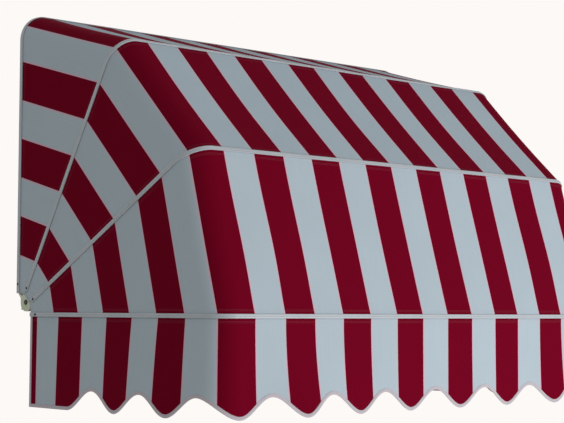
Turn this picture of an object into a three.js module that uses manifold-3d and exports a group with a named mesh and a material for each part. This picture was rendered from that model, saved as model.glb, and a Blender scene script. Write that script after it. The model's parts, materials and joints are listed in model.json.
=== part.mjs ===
// A folding basket awning. Four U-shaped hoops of white keder profile fan out from a hub at
// each lower corner. Three cloth panels are stretched between them, and a scalloped valance
// hangs below the front one. Millimetres: X runs along the wall, -Y points away from it,
// +Z is up, and the origin is on the wall at the middle of the centre clip's back face.

import * as THREE from 'three';
import { mergeVertices } from 'three/addons/utils/BufferGeometryUtils.js';
import Module from 'manifold-3d';

const wasm = await Module();
wasm.setup();

// Driving dimensions

const width = 1510; // over the outer faces of the side arms
const reach = 805; // hub centre to the outer face of a crossbar
const cornerRadius = 72; // outer face of a hoop's bend
const fanStep = THREE.MathUtils.degToRad(30); // between one hoop and the next
const clearance = 0.3; // between pieces that touch
const turningGap = 0.4; // between pieces that turn against each other
const clothGap = 0.5; // between the cloth and the hub behind it

const profile = {
  width: 11, // across, in the direction that the hoops fold
  depth: 24, // from the outer face inwards
  wall: 2,
  chamfer: 1,
  groove: 0.8, // half the width of the decorative groove, and its depth
  mouth: 2, // opening that the cloth passes through
  mouthInset: 2.8, // outer face to the mouth
  lip: 1.4,
  channelWidth: 3.2,
  channelDepth: 4.4,
  hollowInset: 9, // outer face to the hollow that takes the end fitting
};

const cloth = {
  thickness: 1,
  grip: 3.2, // how far its edge reaches into the keder slot
  start: 57, // hub centre to the cloth's cut end
};

const valance = {
  start: 56, // hub centre to its back end
  low: 242, // hoop line to the lowest points of the scallops
  high: 191, // hoop line to the highest points
  period: 200, // one scallop, two stripes long
  firstLow: 700, // from the middle of the front to the low at the corner
  sampleLength: 20,
};

const binding = { width: 9, thickness: 0.7 };

const pivot = { forward: 32, up: 32 }; // hub centre to the common pivot axis
const pin = { radius: 4, headRadius: 7, headHeight: 2.4, grooveDepth: 1, tail: 2 };
const ring = { thickness: 1, radius: 7.5, opening: 0.6 };
const boss = { radius: 11 };
const tongue = { width: 10, thickness: 3.5, shoulder: 5, plug: 36 };
const rivet = { radius: 2, headRadius: 4, headHeight: 1.3, place: 80, length: 15 };
const cheek = { outer: 2.8, radius: 24, webStart: 138, webEnd: 280, web: 7 };
const flange = { thickness: 3.7, width: 38, bottom: 12, top: 74, holeRadius: 2.8, holeInset: 14 };
const clip = { width: 44, drop: 34, rise: 12, shelf: 3, lip: 5, holeRadius: 2.6, holeSpacing: 28 };
const clipSpan = 1150; // between the two outer clips

// The wall hoop and the front hoop have room at the hub. The two between them start further
// out, so that the front hoop's tongue passes under their ends when the awning is folded.
const outerArmStart = 56;
const innerArmStart = 72;

const cornerSteps = 8;
const roundSteps = 14; // segments of a half round edge

// Values that follow

const armLine = flange.thickness + clearance + profile.width / 2; // wall to the wall hoop's middle
const barBottom = reach - profile.depth;
const originHeight = barBottom - clearance - clip.drop / 2; // hub centre to the origin
const clothInset = profile.mouthInset + profile.mouth / 2;
const cheekStart = clothInset + cloth.thickness / 2 + clothGap;
const firstTongue = cheekStart + cheek.outer + turningGap;
const plugTop = profile.hollowInset + clearance;
const plugBottom = profile.depth - profile.wall - clearance;
const hollowHalf = profile.width / 2 - profile.wall;
const innerCheekStart = firstTongue + 3 * (tongue.thickness + turningGap);

const hoops = [
  { name: 'wall', angle: 0, start: outerArmStart },
  { name: 'upper', angle: fanStep, start: innerArmStart, layer: 0 },
  { name: 'middle', angle: 2 * fanStep, start: innerArmStart, layer: 1 },
  { name: 'front', angle: 3 * fanStep, start: outerArmStart, layer: 2 },
];

const white = { color: 0xe9e4e3, roughness: 0.35, metalness: 0.1 };
const cast = { color: 0xdedccb, roughness: 0.5, metalness: 0.2 };
const steel = { color: 0x5a5a5c, roughness: 0.4, metalness: 0.9 };
const stripedCloth = { color: 0x8c2038, roughness: 0.9, metalness: 0 };
const tape = { color: 0xc7b7ba, roughness: 0.85, metalness: 0 };

// Working with closed bodies

function welded(geometry) {
  const bare = geometry.clone();
  for (const name of ['normal', 'uv']) bare.deleteAttribute(name);
  return mergeVertices(bare, 1e-4);
}

function toSolid(geometry) {
  const { attributes, index } = welded(geometry);
  return new wasm.Manifold(new wasm.Mesh({
    numProp: 3,
    vertProperties: new Float32Array(attributes.position.array),
    triVerts: new Uint32Array(index.array),
  }));
}

function toGeometry(solid) {
  const { vertProperties, triVerts } = solid.getMesh();
  const geometry = new THREE.BufferGeometry();
  geometry.setAttribute('position', new THREE.BufferAttribute(new Float32Array(vertProperties), 3));
  geometry.setIndex(new THREE.BufferAttribute(new Uint32Array(triVerts), 1));
  geometry.computeVertexNormals();
  return geometry;
}

function join(...solids) {
  return solids.reduce((whole, next) => whole.add(next));
}

function cut(solid, ...tools) {
  return tools.reduce((rest, tool) => rest.subtract(tool), solid);
}

// A row of matching rings becomes a closed body. The section gives the rings' order of points,
// counterclockwise with its holes clockwise, and how the two ends are filled.
function loft(section, rings) {
  const { shape, holes } = section.extractPoints(1);
  const contours = [shape, ...holes];
  const ringSize = rings[0].length;
  const index = [];
  for (let level = 0; level + 1 < rings.length; level++) {
    let first = level * ringSize;
    for (const contour of contours) {
      for (let i = 0; i < contour.length; i++) {
        const a = first + i;
        const b = first + ((i + 1) % contour.length);
        index.push(a, b, b + ringSize, a, b + ringSize, a + ringSize);
      }
      first += contour.length;
    }
  }
  const last = (rings.length - 1) * ringSize;
  for (const [a, b, c] of THREE.ShapeUtils.triangulateShape(shape, holes)) {
    index.push(c, b, a, a + last, b + last, c + last);
  }
  const geometry = new THREE.BufferGeometry().setFromPoints(rings.flat());
  geometry.setIndex(index);
  return outward(geometry);
}

// Turns every face round if the body is inside out.
function outward(geometry) {
  const at = geometry.attributes.position;
  const index = Array.from(geometry.index.array);
  const corner = [0, 1, 2].map(() => new THREE.Vector3());
  let volume = 0;
  for (let i = 0; i < index.length; i += 3) {
    corner.forEach((point, k) => point.fromBufferAttribute(at, index[i + k]));
    volume += corner[0].dot(corner[1].clone().cross(corner[2]));
  }
  if (volume < 0) index.reverse();
  geometry.setIndex(index);
  return geometry;
}

function mirrored(geometry) {
  return outward(geometry.clone().scale(-1, 1, 1));
}

function polygon(points) {
  return new THREE.Shape(points.map(([a, b]) => new THREE.Vector2(a, b)));
}

// Places. A hoop's plane turns about the hub centre line: r is the distance from that line in
// the hoop's plane, and across is the distance from the plane, towards the next hoop.

function inHoop(angle, x, r, across) {
  const forward = r * Math.sin(angle) + across * Math.cos(angle);
  const up = r * Math.cos(angle) - across * Math.sin(angle);
  return new THREE.Vector3(x, -armLine - forward, up);
}

// The outer face of a hoop, from the left arm's start over both bends to the right arm's start.
// Every station has its outward direction.
function outline(armStart) {
  const stations = [{ x: -width / 2, r: armStart, nx: -1, nr: 0 }];
  for (const side of [-1, 1]) {
    for (let i = 0; i <= cornerSteps; i++) {
      const turn = ((side < 0 ? i : cornerSteps - i) / cornerSteps) * (Math.PI / 2);
      const nx = side * Math.cos(turn);
      const nr = Math.sin(turn);
      const x = side * (width / 2 - cornerRadius) + cornerRadius * nx;
      stations.push({ x, r: reach - cornerRadius + cornerRadius * nr, nx, nr });
    }
  }
  stations.push({ x: width / 2, r: armStart, nx: 1, nr: 0 });
  return stations;
}

// A piece seen from the side of the awning: forward and up from the hub centre, between two
// depths measured inwards from the left arm's outer face.
function sidePlate(shape, from, to, curveSegments = roundSteps) {
  const geometry = new THREE.ExtrudeGeometry(shape, { depth: to - from, bevelEnabled: false, curveSegments });
  const forward = new THREE.Vector3(0, -1, 0);
  const up = new THREE.Vector3(0, 0, 1);
  const outwards = new THREE.Vector3(-1, 0, 0);
  geometry.applyMatrix4(new THREE.Matrix4().makeBasis(forward, up, outwards));
  geometry.translate(-width / 2 + to, -armLine, 0);
  return toSolid(geometry);
}

function disc(forward, up, radius) {
  return new THREE.Shape().absarc(forward, up, radius, 0, 2 * Math.PI);
}

// A straight bar in the side view, from one point to another.
function bar(from, to, barWidth) {
  const along = new THREE.Vector2().subVectors(to, from).normalize();
  const aside = new THREE.Vector2(-along.y, along.x).multiplyScalar(barWidth / 2);
  return new THREE.Shape([
    from.clone().sub(aside),
    to.clone().sub(aside),
    to.clone().add(aside),
    from.clone().add(aside),
  ]);
}

function onArm(angle, r) {
  return new THREE.Vector2(r * Math.sin(angle), r * Math.cos(angle));
}

// The profile. Its outer face carries a shallow groove, both flanks have a keder slot, and the
// hollow behind them takes the end fitting.
function profileSection() {
  const half = profile.width / 2;
  const mouthTop = -profile.mouthInset;
  const mouthBottom = mouthTop - profile.mouth;
  const channelTop = (mouthTop + mouthBottom + profile.channelDepth) / 2;
  const channelBottom = channelTop - profile.channelDepth;
  const neck = half - profile.lip;
  const back = neck - profile.channelWidth;
  const flank = [
    [profile.groove, 0],
    [half - profile.chamfer, 0],
    [half, -profile.chamfer],
    [half, mouthTop],
    [neck, mouthTop],
    [neck, channelTop],
    [back, channelTop],
    [back, channelBottom],
    [neck, channelBottom],
    [neck, mouthBottom],
    [half, mouthBottom],
    [half, profile.chamfer - profile.depth],
    [half - profile.chamfer, -profile.depth],
  ];
  const otherFlank = flank.map(([across, inwards]) => [-across, inwards]).reverse();
  const section = polygon([[0, -profile.groove], ...flank, ...otherFlank].reverse());
  const inner = profile.wall - profile.depth;
  section.holes.push(polygon([
    [-hollowHalf, -profile.hollowInset],
    [hollowHalf, -profile.hollowInset],
    [hollowHalf, inner],
    [-hollowHalf, inner],
  ]));
  return section;
}

function rivetHole({ angle }, from, to) {
  const { x, y } = onArm(angle, rivet.place);
  const left = sidePlate(disc(x, y, rivet.radius + clearance), from, to);
  return [left, toSolid(mirrored(toGeometry(left)))];
}

function hoop(spec) {
  const section = profileSection();
  const { shape, holes } = section.extractPoints(1);
  const points = [shape, ...holes].flat();
  const rings = outline(spec.start).map(({ x, r, nx, nr }) => points.map(
    (point) => inHoop(spec.angle, x + point.y * nx, r + point.y * nr, point.x),
  ));
  const bent = toSolid(loft(section, rings));
  return toGeometry(cut(bent, ...rivetHole(spec, -1, profile.hollowInset + 1)));
}

// The moving hoops end in a cast fitting: a plug inside the profile, a shoulder, and a flat
// tongue that turns on the common pin.
function endFitting(spec) {
  const from = firstTongue + spec.layer * (tongue.thickness + turningGap);
  const to = from + tongue.thickness;
  const axis = new THREE.Vector2(pivot.forward, pivot.up);
  const shoulderStart = onArm(spec.angle, spec.start - tongue.shoulder);
  const shoulderEnd = onArm(spec.angle, spec.start - clearance);
  const plugEnd = onArm(spec.angle, spec.start + tongue.plug);
  const plugWidth = 2 * (hollowHalf - clearance);
  const body = join(
    sidePlate(disc(axis.x, axis.y, boss.radius), from, to),
    sidePlate(bar(axis, shoulderStart, tongue.width), from, to),
    sidePlate(bar(shoulderStart, shoulderEnd, plugWidth), Math.min(from, plugTop), Math.max(to, plugBottom)),
    sidePlate(bar(shoulderStart, plugEnd, plugWidth), plugTop, plugBottom),
  );
  const rivetAt = onArm(spec.angle, rivet.place);
  return toGeometry(cut(
    body,
    sidePlate(disc(axis.x, axis.y, pin.radius + clearance), from - 1, to + 1),
    sidePlate(disc(rivetAt.x, rivetAt.y, rivet.radius + clearance), plugTop - 1, rivet.length + clearance),
  ));
}

// The wall bracket: two cheeks joined by a curved web behind the pivot, a neck and spigot for
// the wall hoop's arm, and a flange against the wall.
function bracket() {
  const { forward, up } = pivot;
  const wall = -armLine;
  const innerCheekEnd = profile.depth;
  const neckTop = outerArmStart - clearance;
  const backEdge = forward - cheek.radius;
  const half = hollowHalf - clearance;
  const neck = polygon([
    [-half, neckTop],
    [backEdge, up + boss.radius],
    [backEdge, up],
    [backEdge + cheek.web, up + cheek.radius - cheek.web],
    [half, neckTop],
  ]);
  const web = new THREE.Shape();
  const [webStart, webEnd] = [cheek.webStart, cheek.webEnd].map(THREE.MathUtils.degToRad);
  web.absarc(forward, up, cheek.radius, webStart, webEnd, false);
  web.absarc(forward, up, cheek.radius - cheek.web, webEnd, webStart, true);
  const wallCheek = polygon([
    [wall, flange.bottom],
    [forward, flange.bottom],
    [forward, up],
    [half, neckTop],
    [wall, neckTop],
  ]);
  const wallPlate = polygon([
    [wall, flange.bottom],
    [wall + flange.thickness, flange.bottom],
    [wall + flange.thickness, flange.top],
    [wall, flange.top],
  ]);
  const spigotStart = onArm(0, neckTop - tongue.shoulder);
  const spigotEnd = onArm(0, outerArmStart + tongue.plug);
  const cheekEnd = cheekStart + cheek.outer;
  const body = join(
    sidePlate(disc(forward, up, cheek.radius), cheekStart, cheekEnd),
    sidePlate(disc(forward, up, cheek.radius), innerCheekStart, innerCheekEnd),
    sidePlate(web, cheekStart, innerCheekEnd),
    sidePlate(neck, cheekStart, innerCheekEnd),
    sidePlate(wallCheek, innerCheekStart, innerCheekEnd),
    sidePlate(wallPlate, innerCheekStart, innerCheekEnd + flange.width),
    sidePlate(bar(spigotStart, spigotEnd, 2 * half), plugTop, plugBottom),
  );
  const holes = [flange.bottom + flange.holeInset, flange.top - flange.holeInset].map((height) => {
    const drill = new THREE.CylinderGeometry(flange.holeRadius, flange.holeRadius, 4 * flange.thickness, 16);
    const inwards = innerCheekEnd + flange.width - flange.holeInset;
    return toSolid(drill.translate(-width / 2 + inwards, 0, height));
  });
  const rivetAt = onArm(0, rivet.place);
  return toGeometry(cut(
    body,
    sidePlate(disc(forward, up, pin.radius + clearance), 0, profile.depth + 1),
    sidePlate(disc(rivetAt.x, rivetAt.y, rivet.radius + clearance), plugTop - 1, rivet.length + clearance),
    ...holes,
  ));
}

// A turned piece on an axis along X. Its profile is given as radius and depth, measured inwards
// from the left arm's outer face.
function turned(points, { x: forward, y: up }, segments = 2 * roundSteps) {
  const geometry = new THREE.LatheGeometry(points.map(([r, depth]) => new THREE.Vector2(r, depth)), segments);
  geometry.rotateZ(-Math.PI / 2);
  geometry.translate(-width / 2, -armLine - forward, up);
  return toGeometry(toSolid(outward(welded(geometry))));
}

const ringStart = profile.depth + clearance;

// The pin's head is outside the outer cheek, and a groove at its inner end takes the ring.
function pivotPin() {
  const headEnd = cheekStart - clearance;
  const { radius, headRadius, headHeight, grooveDepth, tail } = pin;
  const grooveEnd = ringStart + ring.thickness + clearance;
  return turned([
    [0, headEnd - headHeight],
    [headRadius - headHeight / 2, headEnd - headHeight],
    [headRadius, headEnd - headHeight / 2],
    [headRadius, headEnd],
    [radius, headEnd],
    [radius, ringStart - clearance],
    [radius - grooveDepth, ringStart - clearance],
    [radius - grooveDepth, grooveEnd],
    [radius, grooveEnd],
    [radius, grooveEnd + tail],
    [0, grooveEnd + tail],
  ], new THREE.Vector2(pivot.forward, pivot.up));
}

// An open spring ring in the pin's groove.
function retainingRing() {
  const shape = new THREE.Shape();
  const inner = pin.radius - pin.grooveDepth + clearance;
  shape.absarc(pivot.forward, pivot.up, ring.radius, ring.opening, 2 * Math.PI - ring.opening, false);
  shape.absarc(pivot.forward, pivot.up, inner, 2 * Math.PI - ring.opening, ring.opening, true);
  return toGeometry(sidePlate(shape, ringStart, ringStart + ring.thickness));
}

function domeRivet({ angle }) {
  const { radius, headRadius, headHeight, length } = rivet;
  return turned([
    [0, -headHeight - clearance],
    [headRadius / 2, -0.8 * headHeight - clearance],
    [headRadius, -clearance],
    [radius, -clearance],
    [radius, length],
    [0, length],
  ], onArm(angle, rivet.place), roundSteps);
}

// A hook that holds the wall hoop's crossbar to the wall from behind and below.
function wallClip(x) {
  const wall = -armLine;
  const plateFront = wall + flange.thickness;
  const shelfTop = barBottom - clearance;
  const shelfBottom = shelfTop - clip.shelf;
  const lipBack = profile.width / 2 + clearance;
  const lipFront = lipBack + clip.shelf;
  const side = polygon([
    [wall, shelfTop - clip.drop],
    [plateFront, shelfTop - clip.drop],
    [plateFront, shelfBottom],
    [lipFront, shelfBottom],
    [lipFront, shelfTop + clip.lip],
    [lipBack, shelfTop + clip.lip],
    [lipBack, shelfTop],
    [plateFront, shelfTop],
    [plateFront, shelfTop + clip.rise],
    [wall, shelfTop + clip.rise],
  ]);
  const body = sidePlate(side, 0, clip.width).translate([width / 2 - clip.width / 2 + x, 0, 0]);
  const holes = [-1, 1].map((hand) => {
    const drill = new THREE.CylinderGeometry(clip.holeRadius, clip.holeRadius, 4 * flange.thickness, 16);
    return toSolid(drill.translate(x + (hand * clip.holeSpacing) / 2, 0, originHeight));
  });
  return toGeometry(cut(body, ...holes));
}

// Cloth

const thinSheet = polygon([[0, 0], [1, 0], [1, 1], [0, 1]]);

// A panel is one straight-ruled sheet: every line from one hoop to the next is parallel to the
// others, so the cloth wraps round the corners without a stretch. Along is measured parallel to
// those lines, and high is measured square to them, away from the hub.
function panel(first) {
  const half = fanStep / 2;
  const middle = first.angle + half;
  const gripDistance = profile.width / 2 - cloth.grip;
  const mouthMiddle = profile.width / 2 - profile.lip / 2;
  const insets = [clothInset - cloth.thickness / 2, clothInset + cloth.thickness / 2];
  const rings = outline(cloth.start).map(({ x, r, nx, nr }) => {
    const corner = (inset, side) => {
      const high = (r - inset * nr) * Math.cos(half) + mouthMiddle * Math.sin(half);
      const along = side * ((high * Math.sin(half) - gripDistance) / Math.cos(half));
      return inHoop(middle, x - inset * nx, high, along);
    };
    return [corner(insets[0], -1), corner(insets[0], 1), corner(insets[1], 1), corner(insets[1], -1)];
  });
  return loft(thinSheet, rings);
}

// The valance is cut flat and wrapped round the front hoop. Its flat coordinates are the length
// from the middle of the front and the height, with 0 on the hoop's line.
const bendRadius = cornerRadius - clothInset;
const bendStart = width / 2 - cornerRadius;
const bendEnd = bendStart + (bendRadius * Math.PI) / 2;
const valanceHalf = bendEnd + reach - cornerRadius - valance.start;

function wrapValance(length, height, inset) {
  const side = Math.sign(length) || 1;
  const run = Math.abs(length);
  const turn = THREE.MathUtils.clamp((run - bendStart) / bendRadius, 0, Math.PI / 2);
  const radius = cornerRadius - inset;
  const x = Math.min(run, bendStart) + radius * Math.sin(turn);
  const back = Math.max(run - bendEnd, 0);
  const r = reach - cornerRadius + radius * Math.cos(turn) - back;
  return inHoop(Math.PI / 2, side * x, r, -height);
}

// The hem follows rounded scallops, and runs straight along the last one at each end.
function hemHeight(length) {
  const run = Math.abs(length);
  const periods = Math.floor((valanceHalf - valance.firstLow) / valance.period);
  const lastLow = valance.firstLow + periods * valance.period;
  if (run > lastLow) return -valance.low;
  const phase = ((run - valance.firstLow) / valance.period) * 2 * Math.PI;
  return -(valance.high + valance.low) / 2 - ((valance.low - valance.high) / 2) * Math.cos(phase);
}

// Lengths along the valance, with the same steps round the bends as the hoop has.
function hemLengths(end) {
  const breaks = [-end, -bendEnd, -bendStart, bendStart, bendEnd, end];
  const lengths = [-end];
  for (let i = 0; i + 1 < breaks.length; i++) {
    const [from, to] = breaks.slice(i, i + 2);
    const bends = i % 2 === 1;
    const count = bends ? cornerSteps : Math.ceil((to - from) / valance.sampleLength);
    for (let k = 1; k <= count; k++) lengths.push(from + ((to - from) * k) / count);
  }
  return lengths;
}

function valanceCloth() {
  const top = profile.lip + cloth.grip / 2 - profile.width / 2;
  const insets = [clothInset - cloth.thickness / 2, clothInset + cloth.thickness / 2];
  const edge = clearance + binding.thickness;
  const end = valanceHalf - edge;
  const rings = hemLengths(end).map((length) => {
    const bottom = hemHeight(length) + edge;
    return [
      wrapValance(length, bottom, insets[0]),
      wrapValance(length, top, insets[0]),
      wrapValance(length, top, insets[1]),
      wrapValance(length, bottom, insets[1]),
    ];
  });
  return loft(thinSheet, rings);
}

// The tape is folded round the hem, so its section is a narrow channel with the cloth's edge in it.
function valanceBinding() {
  const inner = cloth.thickness / 2 + clearance;
  const outer = inner + binding.thickness;
  const { thickness } = binding;
  const channel = polygon([
    [-outer, 0],
    [outer, 0],
    [outer, binding.width],
    [inner, binding.width],
    [inner, thickness],
    [-inner, thickness],
    [-inner, binding.width],
    [-outer, binding.width],
  ]);
  const { shape } = channel.extractPoints(1);
  const rings = hemLengths(valanceHalf).map((length) => shape.map(
    (point) => wrapValance(length, hemHeight(length) + point.y, clothInset + point.x),
  ));
  return loft(channel, rings);
}

// The assembly

const awning = new THREE.Group();
awning.name = 'basket_awning';
const hood = new THREE.Group();
hood.position.z = -originHeight;
awning.add(hood);

function addNode(name, geometry, look) {
  const bare = geometry.index ? geometry.toNonIndexed() : geometry;
  bare.computeVertexNormals();
  const mesh = new THREE.Mesh(bare, new THREE.MeshStandardMaterial(look));
  mesh.name = name;
  hood.add(mesh);
}

function addPair(name, geometry, look) {
  addNode(`${name}_left`, geometry, look);
  addNode(`${name}_right`, mirrored(geometry), look);
}

for (const spec of hoops) {
  addNode(`${spec.name}_hoop`, hoop(spec), white);
  addPair(`${spec.name}_rivet`, domeRivet(spec), steel);
  if (spec.layer !== undefined) addPair(`${spec.name}_end_fitting`, endFitting(spec), cast);
}

addPair('wall_bracket', bracket(), cast);
addPair('pivot_pin', pivotPin(), steel);
addPair('retaining_ring', retainingRing(), steel);

addNode('wall_clip_left', wallClip(-clipSpan / 2), white);
addNode('wall_clip_centre', wallClip(0), white);
addNode('wall_clip_right', wallClip(clipSpan / 2), white);

addNode('upper_panel', panel(hoops[0]), stripedCloth);
addNode('middle_panel', panel(hoops[1]), stripedCloth);
addNode('lower_panel', panel(hoops[2]), stripedCloth);
addNode('valance', valanceCloth(), stripedCloth);
addNode('valance_binding', valanceBinding(), tape);

export default awning;
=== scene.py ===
# %% [markdown]
# # A striped basket awning
# Four U-shaped hoops of white profile fan out from a hub at each lower corner. Striped cloth is
# stretched from hoop to hoop, and a scalloped valance hangs below the front one. The hoops turn
# on one pin at each hub, so the hood folds up against the wall. The metal parts arrive as a
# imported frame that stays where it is. This lesson dresses it with cloth, tape, thread and finishes.

# %% Load the fixed frame
import json
import math

import bmesh
import bpy
import numpy as np
from mathutils import Matrix, Vector
from mathutils.geometry import tessellate_polygon


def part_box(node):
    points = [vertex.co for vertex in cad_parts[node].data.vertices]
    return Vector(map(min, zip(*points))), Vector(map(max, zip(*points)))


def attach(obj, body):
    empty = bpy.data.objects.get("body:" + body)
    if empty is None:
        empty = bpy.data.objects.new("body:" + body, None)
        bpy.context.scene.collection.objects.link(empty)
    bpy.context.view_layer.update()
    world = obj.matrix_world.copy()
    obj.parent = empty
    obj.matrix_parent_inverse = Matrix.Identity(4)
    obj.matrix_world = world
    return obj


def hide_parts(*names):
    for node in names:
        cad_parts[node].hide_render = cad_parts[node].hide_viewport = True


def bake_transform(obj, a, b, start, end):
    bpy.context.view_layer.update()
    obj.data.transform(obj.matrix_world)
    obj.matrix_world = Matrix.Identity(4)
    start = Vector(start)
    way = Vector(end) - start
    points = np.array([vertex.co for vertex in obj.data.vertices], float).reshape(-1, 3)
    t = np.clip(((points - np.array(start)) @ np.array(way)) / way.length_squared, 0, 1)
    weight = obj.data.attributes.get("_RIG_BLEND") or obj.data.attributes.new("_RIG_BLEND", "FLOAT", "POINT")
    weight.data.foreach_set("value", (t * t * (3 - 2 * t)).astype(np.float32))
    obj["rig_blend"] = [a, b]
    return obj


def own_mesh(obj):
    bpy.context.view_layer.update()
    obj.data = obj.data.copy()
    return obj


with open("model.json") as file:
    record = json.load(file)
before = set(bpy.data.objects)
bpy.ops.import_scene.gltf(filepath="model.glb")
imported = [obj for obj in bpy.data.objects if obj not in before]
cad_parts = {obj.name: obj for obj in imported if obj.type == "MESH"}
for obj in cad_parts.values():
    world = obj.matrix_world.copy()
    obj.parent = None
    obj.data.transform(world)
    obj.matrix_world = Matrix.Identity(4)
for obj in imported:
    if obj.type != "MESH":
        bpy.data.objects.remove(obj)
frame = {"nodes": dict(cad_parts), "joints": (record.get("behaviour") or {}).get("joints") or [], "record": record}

scene = bpy.context.scene
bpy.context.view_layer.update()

# %% [markdown]
# ## Sizes
# Cloth is cut to fit a frame, so nearly every size below is read off the frame's own boxes. They
# could be typed in again, but then a changed frame would no longer fit its cloth. Hoops are
# described in the plane that they lie in: r is the distance from the hub's centre line.

# %% Sizes of the hood
wall_low, wall_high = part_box("wall_hoop")
front_low, front_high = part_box("front_hoop")
arm_y = (wall_low.y + wall_high.y) / 2
hub_z = (front_low.z + front_high.z) / 2
half_width = wall_high.x
reach = wall_high.z - hub_z
profile_width = wall_high.y - wall_low.y
half_profile = profile_width / 2
first_joint = frame["joints"][0]
pivot = Vector(first_joint["pos_m"])
fan_step = math.radians(first_joint["range_deg"][1])
print("over the arms", round(2 * half_width, 4), "hub to crossbar", round(reach, 4))

# %% [markdown]
# A box can't tell how a profile is shaped inside, or where an arm ends. Those few sizes are named
# once here, and so are the four hoops with their angle from the wall and the body each belongs to.

# %% Profile, cloth and hoops
profile_depth = 0.024
corner_radius = 0.072
mouth_top, mouth_bottom = 0.0028, 0.0048  # the slot's mouth, from the outer face
slot_inset = (mouth_top + mouth_bottom) / 2
lip_depth = 0.0014
channel_width = 0.0032
bead_depth = 0.0032  # flank to the bead's middle
bead_line = half_profile - bead_depth
lip_middle = half_profile - lip_depth / 2
outer_arm_start = 0.056
inner_arm_start = 0.072
cloth_start = 0.057
stripe = 0.1

hoops = {
    "wall": {"angle": 0.0, "start": outer_arm_start, "body": "wall_frame"},
    "upper": {"angle": fan_step, "start": inner_arm_start, "body": "upper_bow"},
    "middle": {"angle": 2 * fan_step, "start": inner_arm_start, "body": "middle_bow"},
    "front": {"angle": 3 * fan_step, "start": outer_arm_start, "body": "front_bow"},
}
print("hoops:", ", ".join(hoops), "with a profile", round(profile_width, 4), "wide")

# %% [markdown]
# ## The camera
# The hood was photographed from its left, a little below its middle, through a long lens. The
# place below was worked out from the hoops and the stripe edges. It could be aimed with a Track To
# constraint, but three turns written out keep the slight roll, so the edges stay on the edges.

# %% Camera
camera_place = Vector((-3.261, -3.6015, -0.749))
yaw, pitch, roll = (math.radians(angle) for angle in (44.12, 3.47, 0.28))
ahead = Vector((math.sin(yaw) * math.cos(pitch), math.cos(yaw) * math.cos(pitch), math.sin(pitch)))
level = ahead.cross(Vector((0, 0, 1))).normalized()
overhead = level.cross(ahead)
aside = level * math.cos(roll) + overhead * math.sin(roll)
camera_axes = Matrix((aside, aside.cross(ahead), -ahead)).transposed()

camera_data = bpy.data.cameras.new("camera")
camera_data.sensor_width = 36
camera_data.lens = 103.74
camera = bpy.data.objects.new("camera", camera_data)
camera.matrix_world = Matrix.Translation(camera_place) @ camera_axes.to_4x4()
scene.collection.objects.link(camera)
scene.camera = camera
scene.view_settings.view_transform = "Standard"
print("camera stands", round((camera_place - pivot).length, 2), "m from the hub")

# %% [markdown]
# ## Small helpers for node trees
# A material is a tree of nodes, and most of the typing is wiring. A few helpers shorten it: each
# adds a node and fills its inputs, with a number or with another node's output.


# %% Node helpers
def fill(tree, node, inputs):
    """Sets a node's inputs from (socket, value or another node's output) pairs."""
    for socket, value in inputs:
        if isinstance(value, bpy.types.NodeSocket):
            tree.links.new(value, node.inputs[socket])
        else:
            node.inputs[socket].default_value = value


def add_node(tree, kind, inputs=(), **settings):
    node = tree.nodes.new(kind)
    for name, value in settings.items():
        setattr(node, name, value)
    fill(tree, node, inputs)
    return node


def maths(tree, operation, *values):
    return add_node(tree, "ShaderNodeMath", enumerate(values), operation=operation).outputs[0]


def times(tree, first, second):
    return maths(tree, "MULTIPLY", first, second)


def ramp(tree, value, low, high, to_low=0.0, to_high=1.0):
    """A soft step of a value between two limits."""
    return add_node(tree, "ShaderNodeMapRange", [
        ("Value", value), ("From Min", low), ("From Max", high), ("To Min", to_low), ("To Max", to_high),
    ], interpolation_type="SMOOTHSTEP").outputs[0]


def noise(tree, place, scale, detail):
    return add_node(tree, "ShaderNodeTexNoise", [
        ("Vector", place), ("Scale", scale), ("Detail", detail),
    ]).outputs[0]


def blend_colours(tree, share, first, second, kind="MIX"):
    factor, colour_a, colour_b, result = 0, 6, 7, 2  # a Mix node's sockets for colours
    inputs = [(factor, share), (colour_a, first), (colour_b, second)]
    return add_node(tree, "ShaderNodeMix", inputs, data_type="RGBA", blend_type=kind).outputs[result]


def bump(tree, strength, distance, height):
    return add_node(tree, "ShaderNodeBump", [
        ("Strength", strength), ("Distance", distance), ("Height", height),
    ]).outputs[0]


def split(tree, value):
    """The first two numbers of a vector."""
    return add_node(tree, "ShaderNodeSeparateXYZ", [(0, value)]).outputs[:2]


print("node helpers are ready")

# %% [markdown]
# A colour is easiest to judge as it is written for a screen, but shaders count light, so a helper
# turns one into the other. Effects that several finishes share are node groups with named
# sockets, which could be wired by hand in every material, but then each would be there many times.


# %% Colours, groups and materials
def new_group(name, outputs, **inputs):
    """An input is a number, or a vector where it has no default. Every output is a number."""
    group = bpy.data.node_groups.new(name, "ShaderNodeTree")
    for label, default in inputs.items():
        kind = "NodeSocketVector" if default is None else "NodeSocketFloat"
        socket = group.interface.new_socket(label, in_out="INPUT", socket_type=kind)
        if default is not None:
            socket.default_value = default
    for label in outputs:
        group.interface.new_socket(label, in_out="OUTPUT", socket_type="NodeSocketFloat")
    return group, add_node(group, "NodeGroupInput").outputs, add_node(group, "NodeGroupOutput")


def use_group(tree, group, **inputs):
    return add_node(tree, "ShaderNodeGroup", inputs.items(), node_tree=group).outputs


def colour(red, green, blue):
    """A screen's colour, from 0 to 255, in the linear numbers of a shader."""
    def linear(level):
        level /= 255
        return level / 12.92 if level <= 0.04045 else ((level + 0.055) / 1.055) ** 2.4
    return (linear(red), linear(green), linear(blue), 1.0)


def new_material(name):
    material = bpy.data.materials.new(name)
    material.use_nodes = True
    return material, material.node_tree, material.node_tree.nodes["Principled BSDF"]


print("a screen's mid grey is", round(colour(128, 128, 128)[0], 3), "to a shader")

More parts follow.
